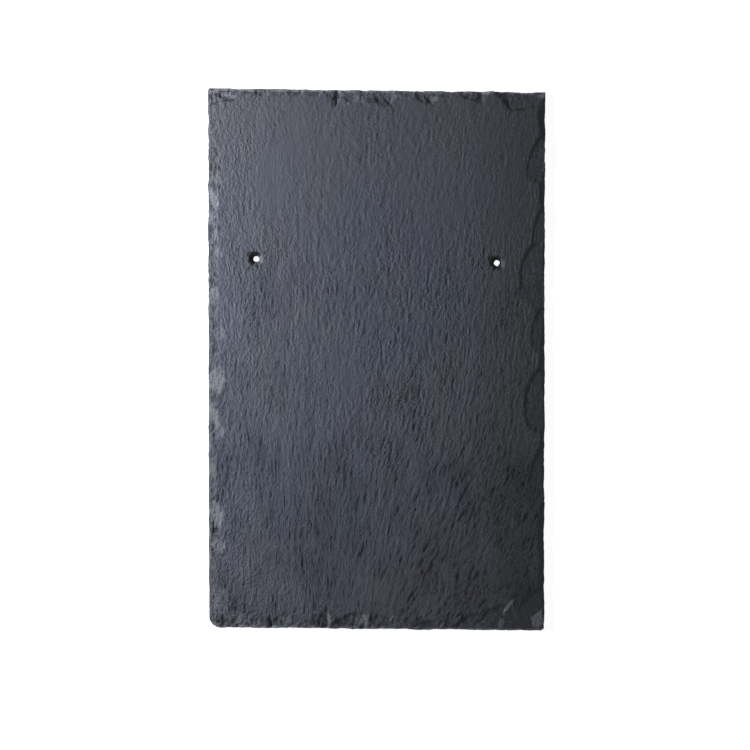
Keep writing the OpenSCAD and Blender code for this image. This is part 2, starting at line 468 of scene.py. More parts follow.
    def chips(self, x: np.ndarray, y: np.ndarray, where: np.ndarray) -> np.ndarray:
        """Breaks the dressed edges into small tilted chips.

        Args:
            x: Places across the slate.
            y: Places along the slate.
            where: The places that are broken.

        Returns:
            The height of the chips in millimetres.
        """
        level = np.column_stack((x, y))
        across = x / self.chip_pitch[0] + self.chip_warp[0].read(level)
        along = y / self.chip_pitch[1] + self.chip_warp[1].read(level)
        height = np.zeros(len(x))
        for k in np.flatnonzero(where):
            spot = Vector((across[k], along[k], 0.0))
            middle = noise.voronoi(spot)[1][0]
            tilt = 2.0 * noise.cell_vector(middle * self.chip_seed) - Vector((1.0, 1.0, 1.0))
            off = spot - middle
            height[k] = self.chip_step * tilt.x + self.chip_slope * (tilt.y * off.x + tilt.z * off.y)
        return height

    def spots(self, x: np.ndarray, y: np.ndarray, marks: Sequence[Spot]) -> np.ndarray:
        """Paints ragged patches.

        Args:
            x: Places across the slate.
            y: Places along the slate.
            marks: The patches.

        Returns:
            The strength of the paint at each place.
        """
        paint = np.zeros(len(x))
        level = np.column_stack((x, y))
        fray = sum(wave.read(level) for wave in self.spot_fray)
        for across, along, half_w, half_l, turn, strength in marks:
            c, s = math.cos(math.radians(turn)), math.sin(math.radians(turn))
            dx, dy = x / MM - across, y / MM - along
            far = np.hypot((dx * c + dy * s) / half_w, (dy * c - dx * s) / half_l)
            paint = np.maximum(paint, strength * (1.0 - smoothstep(*self.spot_ramp, far + fray)))
        return paint

    def painted_falloff_shade(self, x: np.ndarray, y: np.ndarray) -> np.ndarray:
        """Paints shade that darkens the right side, most along its edge and towards the tail, where the
        light falls off.

        Args:
            x: Places across the slate.
            y: Places along the slate.

        Returns:
            The strength of the dark coat at each place.
        """
        broad = smoothstep(*self.dusk_ramp, x) * (self.dusk_middle + self.dusk_per_metre * y)
        edge = self.dusk_edge + self.dusk_tail * smoothstep(*self.dusk_tail_ramp, y)
        return broad + edge * smoothstep(*self.dusk_edge_ramp, x)

    def worn(self, x: np.ndarray, y: np.ndarray) -> np.ndarray:
        """Gives the share of the ashen coat, which lies at the head and on the right."""
        head = smoothstep(*self.worn_head_ramp, y)
        return self.worn_share * np.maximum(head, smoothstep(*self.worn_right_ramp, x))

    def tinge(self, y: np.ndarray) -> np.ndarray:
        """Gives the share of violet, which lies at the tail and at the head."""
        tail = self.tinge_tail * smoothstep(*self.tinge_tail_ramp, y)
        return np.maximum(tail, self.tinge_head * smoothstep(*self.tinge_head_ramp, y))


class NodeSheet:
    """The node tree of one material, world or lamp under construction."""

    def __init__(self, tree: bpy.types.NodeTree) -> None:
        """Starts with an empty tree."""
        self.tree = tree
        self.tree.nodes.clear()

    def add(self, kind: str, inputs: dict[Any, Any] | None = None, **settings: Any) -> bpy.types.Node:
        """Adds a node.

        Args:
            kind: Blender's name of the node type, without the leading ShaderNode.
            inputs: Constants, or sockets to link, by the name or number of the input.
            **settings: Properties of the node itself.

        Returns:
            The new node.
        """
        node = self.tree.nodes.new("ShaderNode" + kind)
        for name, value in settings.items():
            setattr(node, name, value)
        for name, value in (inputs or {}).items():
            if isinstance(value, Socket):
                self.tree.links.new(value, node.inputs[name])
            else:
                node.inputs[name].default_value = value
        return node

    def sum(self, kind: str, first: Any, second: Any) -> Socket:
        """Joins two values by a sum of the given kind and gives the result's socket."""
        return self.add("Math", {0: first, 1: second}, operation=kind).outputs[0]

    def total(self, first: Any, *others: Any) -> Socket:
        """Adds up several values.

        Args:
            first: Socket or constant to start from.
            *others: Sockets or constants to add to it.

        Returns:
            The socket of the total.
        """
        for other in others:
            first = self.sum("ADD", first, other)
        return first

    def level(self, value: Any, span: Span) -> Socket:
        """Maps a value from one span to another.

        Args:
            value: Socket of the value.
            span: Lower and upper bound of the value, and the results at them.

        Returns:
            The socket of the mapped and clamped value.
        """
        names = ("From Min", "From Max", "To Min", "To Max")
        return self.add("MapRange", {"Value": value, **dict(zip(names, span))}).outputs[0]

    def swing(self, value: Any, by: float) -> Socket:
        """Maps a value from 0 to 1 evenly about zero, by an amount to either side."""
        return self.level(value, (0.0, 1.0, -by, by))

    def blend(self, share: Any, first: Any, second: Any, mode: str = "MIX") -> Socket:
        """Mixes two colours.

        Args:
            share: Share of the second colour.
            first: Socket or value of the first colour.
            second: Socket or value of the second colour.
            mode: Blender's name of the way to mix.

        Returns:
            The socket of the mixed colour.
        """
        mix = self.add("Mix", data_type="RGBA", blend_type=mode)
        # The node's inputs for the share and for its two colours have these numbers
        for number, value in ((0, share), (6, first), (7, second)):
            if isinstance(value, Socket):
                self.tree.links.new(value, mix.inputs[number])
            else:
                mix.inputs[number].default_value = (*value, 1.0) if isinstance(value, tuple) else value
        return mix.outputs[2]


@dataclass(frozen=True)
class Pattern:
    """One noise pattern of the finish: what it follows, its pitch and its finer layers."""

    name: str
    basis: Basis
    pitch: tuple[float, float, float]
    detail: float
    rough: float = 0.55


@dataclass(frozen=True)
class RivenFinish:
    """Split slate: blue-grey with a silky grain, pale bruises with painted highlights, dark stains with
    painted shade, and painted shade in the grooves and cracks.

    Heights are shares of the bump's.
    """

    name: str = "riven_slate"
    blue: Colour = (0.064, 0.0765, 0.110)
    violet: Colour = (0.077, 0.078, 0.109)
    green: Colour = (0.069, 0.079, 0.094)
    ash: Colour = (0.080, 0.085, 0.105)
    flour: Colour = (0.122, 0.135, 0.168)
    # Pale coat: bruises of the stone, and painted highlights
    pale: Colour = (0.240, 0.254, 0.292)
    # Dark coat: painted shade in the grooves and cracks, and stains mixed with painted shadow and shade
    stain_and_shade_dark: Colour = (0.016, 0.018, 0.0215)
    patterns: tuple[Pattern, ...] = (
        Pattern("streak", Basis.GRAIN, (1.2 * MM, 5 * MM, 1.0), 3.0),
        Pattern("band", Basis.GRAIN, (7 * MM, 40 * MM, 1.0), 3.0),
        Pattern("hair", Basis.GRAIN, (0.8 * MM, 1.0 * MM, 1.0), 3.0),
        Pattern("seam", Basis.GRAIN, (2.6 * MM, 10 * MM, 1.0), 1.0),
        Pattern("dimple", Basis.GRAIN, (1.7 * MM, 2.3 * MM, 1.0), 2.0),
        Pattern("cloud", Basis.STONE, (70 * MM, 110 * MM, 50 * MM), 3.0),
        Pattern("haze", Basis.STONE, (34 * MM, 48 * MM, 30 * MM), 4.0),
        Pattern("grit", Basis.STONE, (0.9 * MM,) * 3, 4.0, 0.65),
        Pattern("crumb", Basis.STONE, (2.6 * MM,) * 3, 5.0, 0.6),
    )
    cloud_tinge: Span = (0.38, 0.62, 0.0, 0.5)
    haze_share: Span = (0.5, 0.72, 0.0, 0.8)
    streak_tone: Span = (0.25, 0.75, 0.88, 1.12)
    band_tone: Span = (0.3, 0.7, -0.07, 0.07)
    hair_tone: Span = (0.25, 0.75, -0.06, 0.06)
    dust_share: Span = (0.4, 0.62, 0.1, 0.75)
    # How much of the dark coat (stains and painted shade) and of the pale coat (bruises and painted
    # highlights) shows
    stain_and_shade_share: Span = (0.35, 0.65, 1.0, 0.55)
    bruise_and_highlight_share: Span = (0.36, 0.62, 0.25, 1.0)
    groove_shade: float = 0.28
    crack_pitch: tuple[float, float, float] = (3.0 * MM, 4.6 * MM, 1.0)
    crack_sway: float = 1.4
    crack_detail: float = 3.0
    crack_bend: tuple[float, float, float] = (1.2, 1.2, 0.0)
    crack_width: float = 0.24
    crack_gaps: Span = (0.44, 0.56, 1.0, 0.0)
    crack_shade: float = 0.6
    crack_depth: float = 0.3
    streak_height: float = 0.22
    hair_height: float = 0.5
    dimple_height: float = 0.43
    crumb_height: float = 0.7
    grit_height: float = 0.35
    crest: Span = (0.0, 0.07, 0.11, 0.0)
    sheen: Span = (0.25, 0.75, 0.66, 0.54)
    scar_dullness: float = 0.1
    specular: float = 0.36
    bump_height: float = 1.2 * MM
    bump_strength: float = 1.0

    def scaled(self, sheet: NodeSheet, basis: Basis, pitch: Sequence[float]) -> Socket:
        """Gives coordinates in which a pattern's features have a size of 1.

        Args:
            sheet: Node tree to add to.
            basis: What the pattern follows.
            pitch: Size of a feature along each coordinate.

        Returns:
            The socket of the coordinates.
        """
        if basis is Basis.GRAIN:
            source = sheet.add("Attribute", attribute_name=Basis.GRAIN.value).outputs["Vector"]
        else:
            source = sheet.add("TexCoord").outputs["Object"]
        scale = tuple(1.0 / p for p in pitch)
        return sheet.add("Mapping", {"Vector": source, "Scale": scale}).outputs[0]

    def noise(self, sheet: NodeSheet, pattern: Pattern) -> Socket:
        """Lays out a noise pattern.

        Args:
            sheet: Node tree to add to.
            pattern: The pattern.

        Returns:
            The socket of the pattern's value.
        """
        laid = self.scaled(sheet, pattern.basis, pattern.pitch)
        inputs = {"Vector": laid, "Scale": 1.0, "Detail": pattern.detail, "Roughness": pattern.rough}
        return sheet.add("TexNoise", inputs).outputs[0]

    def cracks(self, sheet: NodeSheet) -> Socket:
        """Lays out thin cracks between crumbs of stone.

        Args:
            sheet: Node tree to add to.

        Returns:
            The socket of the cracks, 1 on a crack and 0 on a crumb.
        """
        laid = self.scaled(sheet, Basis.STONE, self.crack_pitch)
        wander = {"Vector": laid, "Scale": self.crack_sway, "Detail": self.crack_detail}
        sway = sheet.add("TexNoise", wander).outputs[1]
        bent = sheet.add("VectorMath", {0: sway, 1: self.crack_bend, 2: laid}, operation="MULTIPLY_ADD")
        shards = {"Vector": bent.outputs[0], "Scale": 1.0}
        gap = sheet.add("TexVoronoi", shards, feature="DISTANCE_TO_EDGE", voronoi_dimensions="2D")
        return sheet.level(gap.outputs["Distance"], (0.0, self.crack_width, 1.0, 0.0))

    def mark(self, sheet: NodeSheet, mark: Mark) -> Socket:
        """Gives the socket of one of the slate's painted marks."""
        return sheet.add("Attribute", attribute_name=mark.value).outputs["Fac"]

    def lay_out(self, sheet: NodeSheet) -> dict[str, Socket]:
        """Lays out the patterns and marks that the finish is mixed from.

        Args:
            sheet: Node tree to add to.

        Returns:
            The sockets of the patterns, the marks and the cracks, by name.
        """
        laid = {pattern.name: self.noise(sheet, pattern) for pattern in self.patterns}
        laid |= {mark.value: self.mark(sheet, mark) for mark in Mark}
        crack = sheet.sum("MULTIPLY", self.cracks(sheet), laid["broken"])
        laid["crack"] = sheet.sum("MULTIPLY", crack, sheet.level(laid["crumb"], self.crack_gaps))
        return laid

    def colour(self, sheet: NodeSheet, laid: dict[str, Socket]) -> Socket:
        """Mixes the stone's colour and lays painted shade in the grooves and cracks, dust, stains with
        painted shade, and bruises with painted highlights over it.

        Args:
            sheet: Node tree to add to.
            laid: Sockets of the patterns and marks.

        Returns:
            The socket of the colour.
        """
        tinge = sheet.total(sheet.level(laid["cloud"], self.cloud_tinge), laid["tinge"])
        colour = sheet.blend(tinge, self.blue, self.violet)
        colour = sheet.blend(sheet.level(laid["haze"], self.haze_share), colour, self.green)
        colour = sheet.blend(laid["worn"], colour, self.ash)
        tone = sheet.total(
            sheet.level(laid["streak"], self.streak_tone),
            sheet.level(laid["band"], self.band_tone),
            sheet.level(laid["hair"], self.hair_tone),
        )
        shade = sheet.add("CombineColor", {0: tone, 1: tone, 2: tone}).outputs[0]
        colour = sheet.blend(1.0, colour, shade, "MULTIPLY")
        # Painted shade in the grooves and cracks, dust on the scars, stains with painted shadow and shade,
        # and bruises with painted highlights
        coats = (
            (laid["groove"], self.groove_shade, self.stain_and_shade_dark),
            (laid["scar"], sheet.level(laid["crumb"], self.dust_share), self.flour),
            (laid["crack"], self.crack_shade, self.stain_and_shade_dark),
            (laid["stain_and_painted_shade"], sheet.level(laid["crumb"], self.stain_and_shade_share), self.stain_and_shade_dark),
            (laid["fresh"], sheet.level(laid["grit"], self.bruise_and_highlight_share), self.pale),
        )
        for place, share, coat in coats:
            colour = sheet.blend(sheet.sum("MULTIPLY", place, share), colour, coat)
        return colour

    def height(self, sheet: NodeSheet, laid: dict[str, Socket]) -> Socket:
        """Works out the fine relief that is too small for the mesh.

        Args:
            sheet: Node tree to add to.
            laid: Sockets of the patterns and marks.

        Returns:
            The socket of the height, as a share of the bump's.
        """
        crumbs = sheet.swing(laid["crumb"], self.crumb_height)
        crisp = sheet.total(crumbs, sheet.swing(laid["grit"], self.grit_height))
        away = sheet.sum("ABSOLUTE", sheet.sum("SUBTRACT", laid["seam"], 0.5), 0.0)
        height = sheet.total(
            sheet.swing(laid["streak"], self.streak_height),
            sheet.sum("MULTIPLY", sheet.swing(laid["hair"], self.hair_height), laid["lively"]),
            sheet.sum("MULTIPLY", sheet.swing(laid["dimple"], self.dimple_height), laid["rugged"]),
            sheet.level(away, self.crest),
            sheet.sum("MULTIPLY", crisp, laid["scar"]),
        )
        crack = sheet.sum("MULTIPLY", laid["crack"], self.crack_depth)
        return sheet.sum("SUBTRACT", sheet.sum("MULTIPLY", height, laid["lively"]), crack)

    def material(self) -> bpy.types.Material:
        """Builds the finish.

        Returns:
            The finished material.
        """
        made = bpy.data.materials.new(self.name)
        made.use_nodes = True
        sheet = NodeSheet(made.node_tree)
        laid = self.lay_out(sheet)
        dull = sheet.sum("MULTIPLY", laid["scar"], self.scar_dullness)
        relief = {
            "Strength": self.bump_strength,
            "Distance": self.bump_height,
            "Height": self.height(sheet, laid),
        }
        stone = {
            "Base Color": self.colour(sheet, laid),
            "Roughness": sheet.total(sheet.level(laid["streak"], self.sheen), dull),
            "Specular IOR Level": self.specular,
            "Normal": sheet.add("Bump", relief).outputs[0],
        }
        surface = sheet.add("BsdfPrincipled", stone).outputs[0]
        sheet.add("OutputMaterial", {"Surface": surface})
        return made


@dataclass
class Slate:
    """The part's one piece: a split sheet with four dressed edges and two punched holes.

    The rings and bore levels of a hole are in millimetres, and so is the depth by which the faces
    are sunk, so that the grain's highest ridges reach the solid's flat faces.
    """

    node: bpy.types.Object
    holes: list[Vector]
    finish: RivenFinish = field(default_factory=RivenFinish)
    bark: Bark = field(default_factory=Bark)
    wear: Wear = field(default_factory=Wear)
    tree: BVHTree = field(init=False)
    width: float = 250 * MM
    length: float = 400 * MM
    thick: float = 6 * MM
    fall: float = 2.9 * MM
    fine: tuple[float, float] = (0.7 * MM, 0.85 * MM)
    coarse: tuple[float, float] = (0.78 * MM, 1.7 * MM)
    band: tuple[float, float] = (18 * MM, 14 * MM)
    bed_step: int = 4
    corner_fan: float = 12 * MM
    settle: float = 16 * MM
    probe: float = 0.8 * MM
    nudge: float = 0.03 * MM
    window: float = 8 * MM
    bore: float = 2.1 * MM
    hole_rag: float = 0.4 * MM
    rag_turn: float = 1.3
    rag_shift: float = 50.0
    ragged_rings: float = 3.4
    rings: tuple[float, ...] = (7.7, 7.0, 6.4, 5.9, 5.5, 5.0, 4.4, 3.8, 3.3, 2.85, 2.35, 2.14)
    bore_levels: tuple[float, ...] = (2.6, 1.9, 1.2, 0.5, 0.0)
    wall_shares: tuple[float, ...] = (0.84, 0.64, 0.43, 0.22, 0.06, 0.0)
    fray: tuple[Wave, Wave] = (
        Wave((6 * MM,) * 3, 21.0, 2.4 * MM),
        Wave((2.6 * MM,) * 3, 23.0, 1.4 * MM),
    )
    fray_at_hole: float = 0.5
    fray_share: float = 0.55
    fray_left: float = 0.45
    fray_right: float = -0.4
    fray_tail: float = 0.8
    sunk: float = 0.45
    wall_grain: float = 2.0
    sharp: float = math.radians(42)

    def __post_init__(self) -> None:
        """Merges a copy of the CAD solid's mesh and keeps it for measuring against."""
        solid = bmesh.new()
        solid.from_mesh(self.node.data)
        bmesh.ops.remove_doubles(solid, verts=solid.verts, dist=MM / 1000)
        self.tree = BVHTree.FromBMesh(solid)
        solid.free()

    def sheared(self, x: float, y: float) -> Vector:
        """Puts a place of a square sheet where the slate, cut out of square, has it."""
        return Vector((x, y - self.fall * x / self.width, 0.0))

    def outline(self, x: float, y: float) -> Vector:
        """Finds the dressed outline beside a place on the border of a square sheet.

        Args:
            x: Place across the sheet.
            y: Place along the sheet.

        Returns:
            The place on the outline.
        """
        half_w = self.width / 2 - self.corner_fan
        half_l = self.length / 2 - self.corner_fan
        inside = self.sheared(min(max(x, -half_w), half_w), min(max(y, -half_l), half_l))
        out = (self.sheared(x, y) - inside).normalized()
        hit = self.tree.ray_cast(inside + Vector((0, 0, self.probe)), out)[0]
        return Vector((hit.x, hit.y, 0.0))

    def surface(self, place: Vector) -> float:
        """Gives the height of the CAD solid's upper skin over a place."""
        hit = self.tree.ray_cast(Vector((place.x, place.y, 2 * self.thick)), DOWN)[0]
        return hit.z if hit else 0.0

    def spread(self, bm: bmesh.types.BMesh, lines: tuple[np.ndarray, np.ndarray]) -> Verts:
        """Spreads a grid over the slate's outline.

        Args:
            bm: Mesh to add the grid to.
            lines: Places of the grid lines across and along a square sheet.

        Returns:
            The vertices of the grid, level and following the dressed outline.
        """
        xs, ys = lines
        nx, ny = len(xs) - 1, len(ys) - 1
        made = bmesh.ops.create_grid(bm, x_segments=nx, y_segments=ny, size=0.5)["verts"]
        shifts = {}
        for i in range(nx + 1):
            for j in range(ny + 1):
                if i in (0, nx) or j in (0, ny):
                    shifts[i, j] = self.outline(xs[i], ys[j]) - self.sheared(xs[i], ys[j])
        for v in made:
            i, j = round((v.co.x + 0.5) * nx), round((v.co.y + 0.5) * ny)
            pull_x = {e: max(0.0, 1.0 - abs(xs[i] - xs[e]) / self.settle) for e in (0, nx)}
            pull_y = {e: max(0.0, 1.0 - abs(ys[j] - ys[e]) / self.settle) for e in (0, ny)}
            place = self.sheared(xs[i], ys[j])
            for e, share in pull_x.items():
                place += shifts[e, j] * share
            for e, share in pull_y.items():
                place += shifts[i, e] * share
                for f, other in pull_x.items():
                    place -= shifts[f, e] * share * other
            v.co = place
        return made

    def open_window(
        self, bm: bmesh.types.BMesh, skin: Iterable[bmesh.types.BMVert], hole: Vector
    ) -> Edges:
        """Takes a block of cells out of a skin round a hole.

        Args:
            bm: Mesh that holds the skin.
            skin: Vertices of the skin.
            hole: Middle of the hole.

        Returns:
            The edges round the opening.
        """
        inside = set()
        for v in skin:
            for f in v.link_faces:
                off = f.calc_center_median() - hole
                if max(abs(off.x), abs(off.y)) < self.window:
                    inside.add(f)
        rim = [e for f in inside for e in f.edges if any(g not in inside for g in e.link_faces)]
        bmesh.ops.delete(bm, geom=list(inside), context="FACES")
        return rim

    def lower(self, bm: bmesh.types.BMesh, loop: Edges) -> tuple[Edges, Verts]:
        """Extrudes a loop of open edges in place.

        Args:
            bm: Mesh that holds the loop.
            loop: The open edges.

        Returns:
            The new loop's edges and vertices.
        """
        grown = bmesh.ops.extrude_edge_only(bm, edges=loop)["geom"]
        verts = [g for g in grown if isinstance(g, bmesh.types.BMVert)]
        fresh = set(verts)
        edges = [g for g in grown if isinstance(g, bmesh.types.BMEdge) and fresh.issuperset(g.verts)]
        return edges, verts

    def rag(self, arm: Vector, hole: Vector) -> float:
        """Gives how far the ragged bore of a hole departs from round in a direction."""
        return self.hole_rag * noise.noise(arm.normalized() * self.rag_turn + hole * self.rag_shift)

    def punch(self, bm: bmesh.types.BMesh, skin: Verts, hole: Vector) -> tuple[Verts, Verts, Edges]:
        """Rings a hole's crater and bore.

        Args:
            bm: Mesh that holds the face.
            skin: Vertices of the face.
            hole: Middle of the hole.

        Returns:
            The crater's vertices, the bore's vertices and the lowest loop of the bore.
        """
        loop = self.open_window(bm, skin, hole)
        crater: Verts = []
        bore: Verts = []
        for k, radius in enumerate(self.rings):
            loop, verts = self.lower(bm, loop)
            for v in verts:
                arm = Vector((v.co.x - hole.x, v.co.y - hole.y, 0.0))
                reach = radius * MM if k else (arm.length + radius * MM) / 2
                if radius < self.ragged_rings:
                    reach += self.rag(arm, hole)
                v.co = Vector((hole.x, hole.y, 0.0)) + arm.normalized() * reach
            crater += verts
        for level in self.bore_levels:
            loop, verts = self.lower(bm, loop)
            for v in verts:
                arm = Vector((v.co.x - hole.x, v.co.y - hole.y, 0.0)).normalized()
                arm *= self.bore + self.rag(arm, hole)
                v.co = Vector((hole.x + arm.x, hole.y + arm.y, level * MM))
            bore += verts
        return crater, bore, loop

    def close(self, bm: bmesh.types.BMesh, edges: Edges) -> None:
        """Fills the flat ring between two loops of the underside with triangles."""
        bmesh.ops.triangle_fill(bm, edges=edges, use_beauty=True, normal=DOWN)

    def frayed(self, places: np.ndarray) -> np.ndarray:
        """Works out the shifts that make the rims of the scars ragged, most on the left.

        Args:
            places: Places on the face.

        Returns:
            How far beside each place its height is taken.
        """
        sway = np.zeros_like(places)
        for wave in self.fray:
            for axis in (0, 1):
                sway[:, axis] += wave.read(places, axis)
        for hole in self.holes:
            far = np.hypot(places[:, 0] - hole.x, places[:, 1] - hole.y)
            away = smoothstep(self.window, 2 * self.window, far)
            sway *= (self.fray_at_hole + (1.0 - self.fray_at_hole) * away)[:, None]
        left, right = self.wear.sides(places[:, 0])
        tail = smoothstep(*self.wear.tail_ramp, places[:, 1])
        calm = np.maximum(right, self.fray_tail * tail)
        return sway * (self.fray_share + self.fray_left * left + self.fray_right * calm)[:, None]

    def raise_face(self, face: Verts) -> None:
        """Lifts the face to the CAD solid's upper skin.

        Args:
            face: Vertices of the face and the craters.
        """
        shrink = 1.0 - self.nudge / (self.width / 2)
        sway = self.frayed(np.array([v.co for v in face]))
        for v, shift in zip(face, sway.tolist()):
            v.co.z = self.surface(v.co + Vector(shift)) or self.surface(v.co) or self.surface(v.co * shrink)

    def plumb(self, v: bmesh.types.BMVert) -> tuple[float, float]:
        """Gives a vertex's place seen from above, rounded, to tell which lie under one another."""
        return round(v.co.x / MM, 4), round(v.co.y / MM, 4)

    def shape(self) -> bmesh.types.BMesh:
        """Models the closed sheet over the CAD solid.

        Returns:
            The mesh, with its surfaces told apart in the vertex layer "part".
        """
        bm = bmesh.new()
        kind = bm.verts.layers.int.new("part")
        lines = (
            graded(self.width / 2, self.fine[0], self.coarse[0], self.band[0], self.bed_step),
            graded(self.length / 2, self.fine[1], self.coarse[1], self.band[1], self.bed_step),
        )
        face = self.spread(bm, lines)
        border = [e for e in bm.edges if e.is_boundary]
        loops, craters, bores = [], [], []
        for hole in self.holes:
            crater, bore, loop = self.punch(bm, [v for v in face if v.is_valid], hole)
            craters += crater
            bores += bore
            loops.append(loop)
        face = [v for v in face if v.is_valid] + craters
        self.raise_face(face)
        walls: Verts = []
        tops = {self.plumb(v): v.co.z for e in border for v in e.verts}
        for share in self.wall_shares:
            border, verts = self.lower(bm, border)
            for v in verts:
                v.co.z = share * tops[self.plumb(v)]
            walls += verts
        bed = self.spread(bm, (lines[0][:: self.bed_step], lines[1][:: self.bed_step]))
        rim = [f for f in {f for v in bed for f in v.link_faces} if any(e.is_boundary for e in f.edges)]
        bmesh.ops.delete(bm, geom=rim, context="FACES")
        bed = [v for v in bed if v.is_valid]
        outer = [e for e in {e for v in bed for e in v.link_edges} if e.is_boundary]
        self.close(bm, border + outer)
        for hole, loop in zip(self.holes, loops):
            opening = self.open_window(bm, [v for v in bed if v.is_valid], hole)
            self.close(bm, loop + opening)
        bed = [v for v in bed if v.is_valid]
        for part, verts in ((Part.FACE, face), (Part.WALL, walls), (Part.BORE, bores), (Part.BED, bed)):
            for v in verts:
                v[kind] = part.value
        bmesh.ops.recalc_face_normals(bm, faces=bm.faces)
        return bm

    def inwards(self, x: np.ndarray, square: np.ndarray) -> tuple[np.ndarray, np.ndarray]:
        """Finds the way from each place near the border to the inner part of the sheet.

        Args:
            x: Places across the slate.
            square: Places along it, squared up.

        Returns:
            The direction inwards at each place, and how far the inner part is.
        """
        half_w = self.width / 2 - self.corner_fan
        half_l = self.length / 2 - self.corner_fan
        way = np.column_stack(
            (np.clip(x, -half_w, half_w) - x, np.clip(square, -half_l, half_l) - square)
        )
        run = np.maximum(np.linalg.norm(way, axis=1), TINY)
        return way / run[:, None], run

    def arris_bruise_and_highlight(self, level: np.ndarray, square: np.ndarray, run: np.ndarray) -> np.ndarray:
        """Paints the pale arris along the border, partly a bruise of the stone and partly a painted
        highlight, most at the head and tail.

        Args:
            level: Places across and along the slate.
            square: Places along it, squared up.
            run: How far the inner part of the sheet is.

        Returns:
            The strength of the paint at each place.
        """
        wear = self.wear
        x, y = level.T
        low, high = (self.corner_fan - off for off in wear.arris_ramp)
        arris = smoothstep(low, high, run)
        arris *= np.clip(wear.arris_cover + wear.arris_gaps.read(level), 0.0, 1.0)
        low, high = (self.length / 2 - off for off in wear.rim_ramp)
        rim = np.where(y > 0.0, wear.head_rim_paint, wear.tail_rim_paint)
        rim *= smoothstep(low, high, np.abs(square))
        sides = wear.arris_paint - wear.arris_right_loss * wear.sides(x)[1]
        return arris * np.maximum(sides, rim)

    def bitten(self, place: np.ndarray) -> np.ndarray:
        """Works out how far the broken border is bitten back.

        Args:
            place: Places on the border.

        Returns:
            The depth of the bite at each place.
        """
        wear = self.wear
        depth = wear.bite + wear.bite_layers.read(place)
        depth += sum(wave.read(place[:, :2]) for wave in wear.bite_nibbles)
        return np.clip(depth, 0.0, None) * MM

    def weather(self, mesh: bpy.types.Mesh) -> None:
        """Cuts the riven relief into the mesh and paints the stone's marks on it, painted shade and
        highlights among them.

        Args:
            mesh: The closed sheet.
        """
        wear = self.wear
        count = len(mesh.vertices)
        flat = np.zeros(count * 3)
        mesh.vertices.foreach_get("co", flat)
        place = flat.reshape(-1, 3)
        kind = np.zeros(count, int)
        mesh.attributes["part"].data.foreach_get("value", kind)
        x, y, z = place.T.copy()
        level = np.column_stack((x, y))
        face, wall, bed = (kind == part.value for part in (Part.FACE, Part.WALL, Part.BED))
        scar = np.where(face, smoothstep(*wear.scar_ramp, self.thick - z), 1.0)
        scar[bed] = 0.0

        left, right = wear.sides(x)
        spall = wear.spalled(x, y, self.holes)
        broken = wear.brokenness(x, y, spall)
        # Pale spots are bruises and painted highlights; dark spots are stains with painted shadow and shade
        bruise_and_highlight_spot = wear.spots(x, y, wear.bruises_and_highlights) * (face | wall)
        stain_and_painted_shade = wear.spots(x, y, wear.stains_and_painted_shade) * (face | wall)
        square = y + self.fall * x / self.width
        way, run = self.inwards(x, square)
        # The pale coat: bruises and painted highlights on the spots and along the arris
        fresh = np.maximum(bruise_and_highlight_spot, self.arris_bruise_and_highlight(level, square, run) * face)
        plain = 1.0 - wear.bruise_and_highlight_smooth * np.minimum(fresh, 1.0)

        lively = self.bark.strength(x, y)
        bark = self.bark.height(x, y)
        # Painted shade where the grain's grooves lie
        groove = 1.0 - smoothstep(*wear.groove_ramp, bark * lively)
        rough = wear.scar_grain + wear.scar_grain_left * np.maximum(left, spall)
        lively += scar * (rough + wear.scar_grain_right * right - lively)
        bark *= lively
        swell = wear.swell.read(level)
        crumbs = sum(wave.read(place) for wave in wear.crumbs)
        crumbs = broken * (crumbs + wear.chips(x, y, face & (scar > 0.0)))
        relief = (bark + scar * crumbs) * plain + swell
        relief += wear.facet_height * np.minimum(bruise_and_highlight_spot, 1.0) - wear.stain_and_shade_depth * stain_and_painted_shade
        z = np.where(face, np.clip(z + (relief - self.sunk) * MM, self.probe, self.thick), z)
        z = np.where(bed, np.clip(z + (self.sunk + bark + swell) * MM, 0.0, None), z)

        edge = wall | (face & (run > self.corner_fan - wear.bite_band))
        bite = np.where(edge, self.bitten(np.column_stack((x, y, z))), 0.0)
        place[:, :2] = level + bite[:, None] * way
        place[:, 2] = z
        mesh.vertices.foreach_set("co", place.ravel())

        upright = np.column_stack((z * self.wall_grain, x + y, np.zeros(count)))
        lying = np.column_stack((self.bark.grain.follow(x, y), y, np.zeros(count)))
        grain = np.where(wall[:, None], upright, lying)
        mesh.attributes.new(Basis.GRAIN.value, "FLOAT_VECTOR", "POINT").data.foreach_set(
            "vector", grain.ravel()
        )
        marks = {
            Mark.SCAR: scar,
            Mark.BRUISE_AND_HIGHLIGHT: fresh,
            # Stains and painted shadow, with painted shade over the right side
            Mark.STAIN_AND_PAINTED_SHADE: np.maximum(stain_and_painted_shade, wear.painted_falloff_shade(x, y) * plain),
            # Painted shade in the grain's grooves
            Mark.PAINTED_GROOVE_SHADE: groove * (1.0 - wear.groove_scar_loss * scar) * plain * face,
            Mark.LIVELY: lively,
            Mark.WORN: wear.worn(x, y),
            Mark.BROKEN: scar * np.minimum(broken, 1.0) * plain,
            Mark.TINGE: wear.tinge(y),
            Mark.RUGGED: plain * (1.0 + smoothstep(*wear.rugged_ramp, x)),
        }
        for mark, values in marks.items():
            mesh.attributes.new(mark.value, "FLOAT", "POINT").data.foreach_set("value", values)

    def build(self) -> bpy.types.Object:
        """Makes the dressed slate.

        Returns:
            The finished object, at the origin.
        """
        bm = self.shape()
        mesh = bpy.data.meshes.new("riven_sheet")
        bm.to_mesh(mesh)
        bm.free()
        self.weather(mesh)
        mesh.shade_smooth()
        mesh.set_sharp_from_angle(angle=self.sharp)
        mesh.materials.append(self.finish.material())
        piece = bpy.data.objects.new("riven_slate", mesh)
        bpy.context.scene.collection.objects.link(piece)
        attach(piece, "root")
        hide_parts("slate")
        return piece


